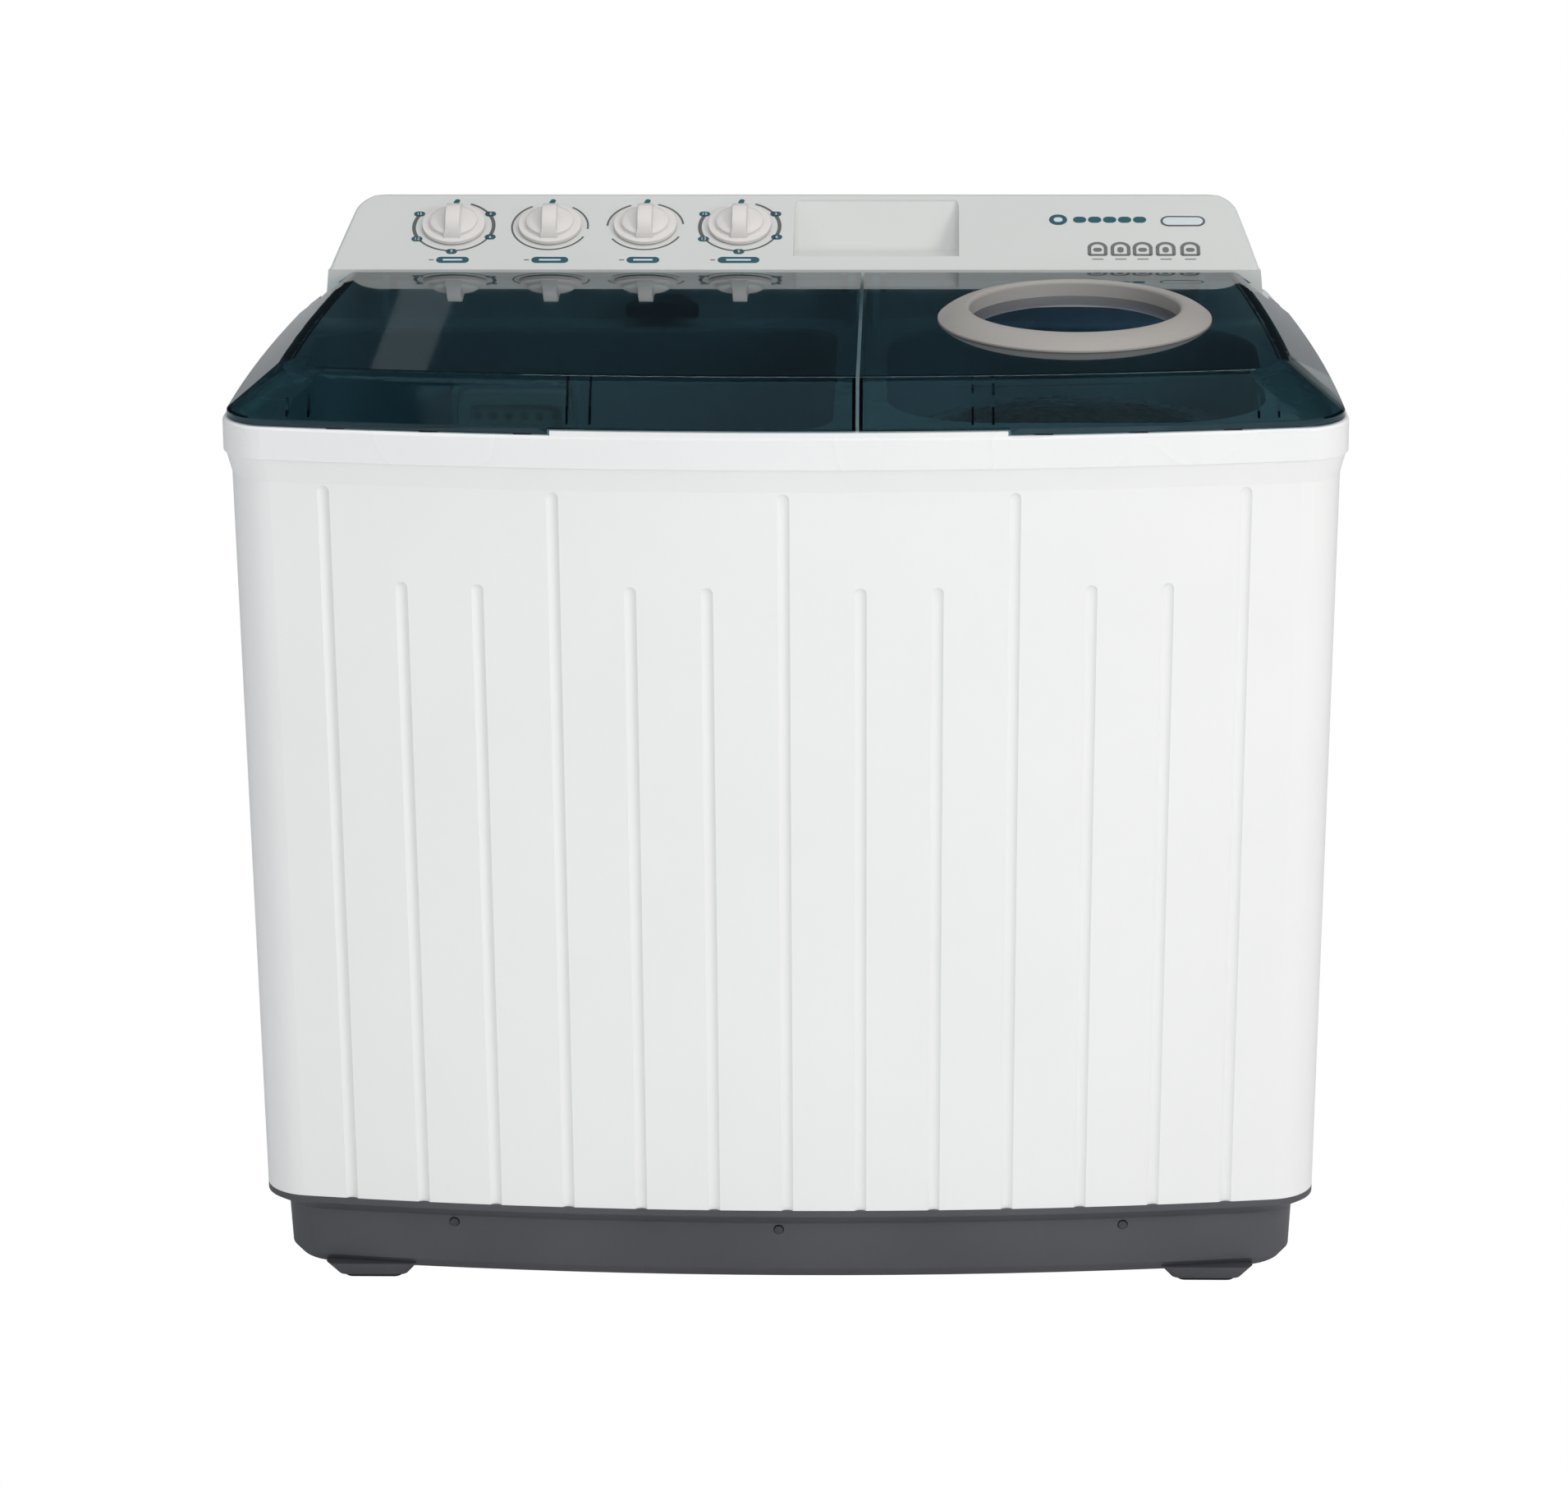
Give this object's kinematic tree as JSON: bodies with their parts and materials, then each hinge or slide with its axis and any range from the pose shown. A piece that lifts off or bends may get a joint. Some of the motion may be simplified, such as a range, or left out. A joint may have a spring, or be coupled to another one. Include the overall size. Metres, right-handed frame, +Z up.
{
  "type": "twin tub washer",
  "caption": "Free-standing washer with a wash tub and a spin tub side by side, smoked hinged lids, a rear control console with dials and a dark moulded base.",
  "frame": {"origin": "on the floor under the middle of the machine's outline", "axes": "+Z up, front of the machine towards -Y, +X to the right of someone facing the machine"},
  "size_m": [0.9616, 0.56, 0.8874],
  "materials": {
    "white_plastic": "glossy moulded polypropylene",
    "console_plastic": "satin moulded ABS, light warm grey",
    "dark_plastic": "dark grey moulded plastic with a fine grain",
    "smoked_lid": "smoked blue-green transparent plastic",
    "silver_plastic": "metallic silver paint over plastic",
    "window": "clear tempered dome",
    "knob_plastic": "white glossy plastic",
    "tub_plastic": "light blue-grey polypropylene",
    "basket_steel": "perforated stainless steel",
    "pulsator_plastic": "blue-grey moulded plastic",
    "rubber": "black rubber",
    "hose": "grey flexible hose",
    "steel": "zinc plated steel",
    "cast": "die cast aluminium",
    "motor_paint": "dark painted motor casing",
    "filter_net": "white plastic frame with net",
    "control_plastic": "natural nylon housings"
  },
  "bodies": {
    "case": {"back_cover": "dark_plastic", "base": "dark_plastic", "brake_pivot_pin": "steel", "cabinet": "white_plastic", "case_screws": "steel", "console": "console_plastic", "cord_gland": "rubber", "drain_hose": "hose", "drain_selector_bracket": "control_plastic", "drain_valve_body": "tub_plastic", "drive_belt": "rubber", "gearbox": "cast", "lid_bumpers": "rubber", "motor_capacitors": "cast", "overflow_pipe": "tub_plastic", "rubber_feet": "rubber", "spin_drain_hose": "hose", "spin_motor": "motor_paint", "spin_motor_plate": "steel", "spin_motor_springs": "steel", "spin_shaft_seal": "rubber", "spin_timer": "control_plastic", "spin_tub": "tub_plastic", "top_frame": "white_plastic", "wash_motor": "motor_paint", "wash_motor_bracket": "motor_paint", "wash_selector_switch": "control_plastic", "wash_timer": "control_plastic", "wash_tub": "tub_plastic", "water_inlet_pipe": "hose", "water_inlet_port": "control_plastic", "water_spout": "dark_plastic"},
    "wash_lid": {"wash_lid": "smoked_lid", "wash_lid_pins": "steel"},
    "spin_lid": {"spin_lid": "smoked_lid", "spin_lid_pins": "steel", "spin_lid_ring": "silver_plastic", "spin_lid_window": "window"},
    "wash_timer_control": {"wash_timer_knob": "knob_plastic", "wash_timer_shaft": "steel"},
    "wash_selector_control": {"wash_selector_knob": "knob_plastic", "wash_selector_shaft": "steel"},
    "drain_selector_control": {"drain_selector_knob": "knob_plastic", "drain_selector_shaft": "steel"},
    "spin_timer_control": {"spin_timer_knob": "knob_plastic", "spin_timer_shaft": "steel"},
    "pulsator_drive": {"pulsator": "pulsator_plastic", "pulsator_screw": "steel", "wash_shaft": "steel", "wash_pulley": "cast"},
    "wash_motor_rotor": {"wash_motor_shaft": "steel", "motor_pulley": "cast"},
    "spin_rotor": {"spin_basket": "basket_steel", "spin_shaft": "steel", "brake_drum": "cast"},
    "brake": {"brake_arm": "steel"},
    "drain_valve": {"drain_valve_plug": "rubber", "drain_pull_rod": "steel"},
    "lint_filter": {"lint_filter": "filter_net"}
  },
  "joints": [
    {"name": "wash_lid_hinge", "type": "hinge", "parent": "case", "child": "wash_lid", "pos_m": [0, 0.136, 0.822], "axis": [-1, 0, 0], "range_deg": [0, 100]},
    {"name": "spin_lid_hinge", "type": "hinge", "parent": "case", "child": "spin_lid", "pos_m": [0.25, 0.136, 0.822], "axis": [-1, 0, 0], "range_deg": [0, 100]},
    {"name": "wash_timer_turn", "type": "hinge", "parent": "case", "child": "wash_timer_control", "pos_m": [-0.3126, 0.21047, 0.85903], "axis": [0, 0.4067, -0.9135], "range_deg": [0, 300]},
    {"name": "wash_selector_turn", "type": "hinge", "parent": "case", "child": "wash_selector_control", "pos_m": [-0.2244, 0.21047, 0.85903], "axis": [0, 0.4067, -0.9135], "range_deg": [-90, 90]},
    {"name": "drain_selector_turn", "type": "hinge", "parent": "case", "child": "drain_selector_control", "pos_m": [-0.1371, 0.21047, 0.85903], "axis": [0, 0.4067, -0.9135], "range_deg": [0, 90]},
    {"name": "spin_timer_turn", "type": "hinge", "parent": "case", "child": "spin_timer_control", "pos_m": [-0.0506, 0.21047, 0.85903], "axis": [0, 0.4067, -0.9135], "range_deg": [0, 300]},
    {"name": "pulsator_spin", "type": "hinge", "parent": "case", "child": "pulsator_drive", "pos_m": [-0.194, -0.056, 0.2], "axis": [0, 0, 1], "continuous": true},
    {"name": "wash_motor_spin", "type": "hinge", "parent": "case", "child": "wash_motor_rotor", "pos_m": [-0.35, 0.066, 0.2], "axis": [0, 0, 1], "continuous": true},
    {"name": "spin_basket_spin", "type": "hinge", "parent": "case", "child": "spin_rotor", "pos_m": [0.2505, -0.036, 0.2], "axis": [0, 0, 1], "continuous": true},
    {"name": "brake_swing", "type": "hinge", "parent": "case", "child": "brake", "pos_m": [0.3125, -0.108, 0.2], "axis": [0, 0, 1], "range_deg": [0, 4]},
    {"name": "drain_valve_lift", "type": "slide", "parent": "case", "child": "drain_valve", "axis": [0, 0, 1], "range_m": [0, 0.012]},
    {"name": "lint_filter_lift", "type": "slide", "parent": "case", "child": "lint_filter", "axis": [0, 0, 1], "range_m": [0, 0.07]}
  ],
  "couplings": [
    {"joint": "wash_motor_spin", "follows": "pulsator_spin", "ratio": 3.2745},
    {"joint": "brake_swing", "follows": "spin_lid_hinge", "ratio": 0.035},
    {"joint": "drain_selector_turn", "follows": "drain_valve_lift", "rad_per_m": 130.9}
  ]
}
